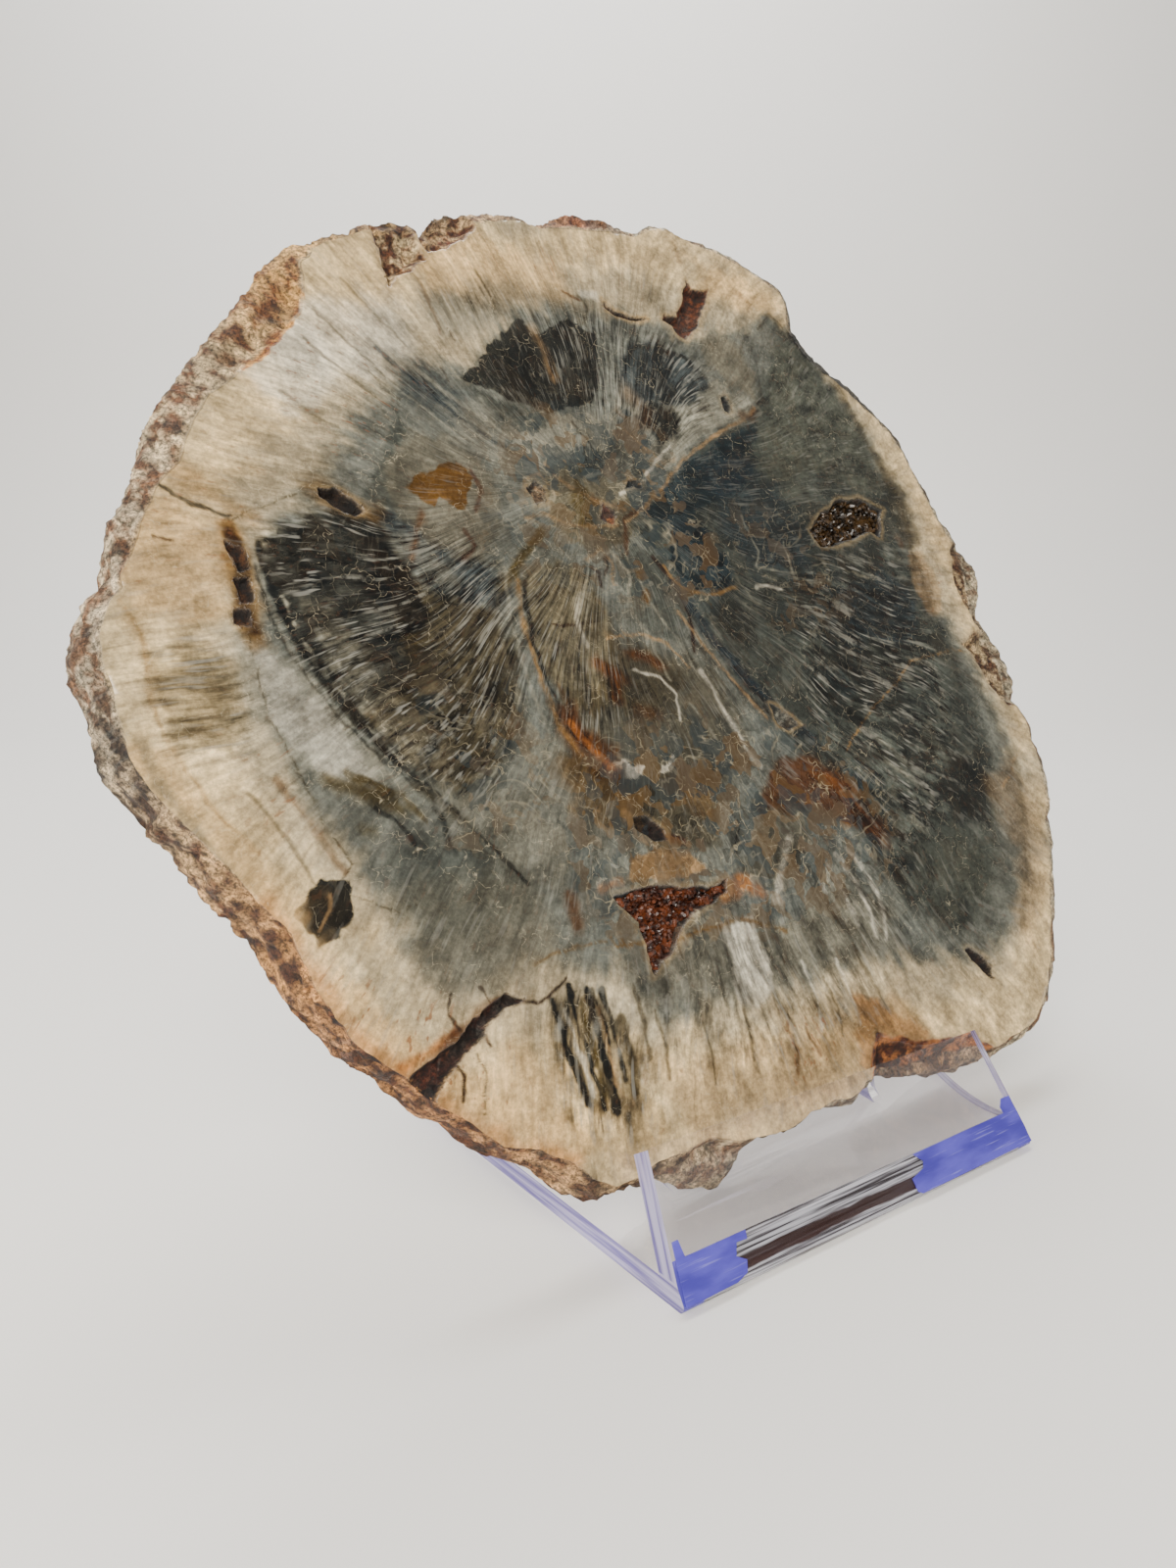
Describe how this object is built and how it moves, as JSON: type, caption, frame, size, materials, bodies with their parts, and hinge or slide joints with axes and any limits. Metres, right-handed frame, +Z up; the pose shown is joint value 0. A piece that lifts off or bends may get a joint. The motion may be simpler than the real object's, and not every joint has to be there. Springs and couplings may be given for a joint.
{
  "type": "petrified wood slice",
  "caption": "Polished slice of petrified log with a rough bark rim and crystal hollows, leaning on a bent clear acrylic easel.",
  "frame": {"origin": "on the table under the middle of the easel base's front land, which is solid between the front fold and the window", "axes": "+X to the right along the lip, +Y to the back, +Z up"},
  "size_m": [0.2887, 0.1375, 0.2528],
  "materials": {
    "polished_stone": "polished face, rough porous rim",
    "dark_crystal": "small shiny crystals",
    "rust_crystal": "small rust-stained crystals",
    "clear_acrylic": "clear, polished",
    "purple_film": "thin scratched film"
  },
  "bodies": {
    "root": {"slab": "polished_stone", "crystal_crust_right": "dark_crystal", "crystal_crust_lower": "rust_crystal", "display_stand": "clear_acrylic", "film_left": "purple_film", "film_right": "purple_film"}
  },
  "joints": []
}
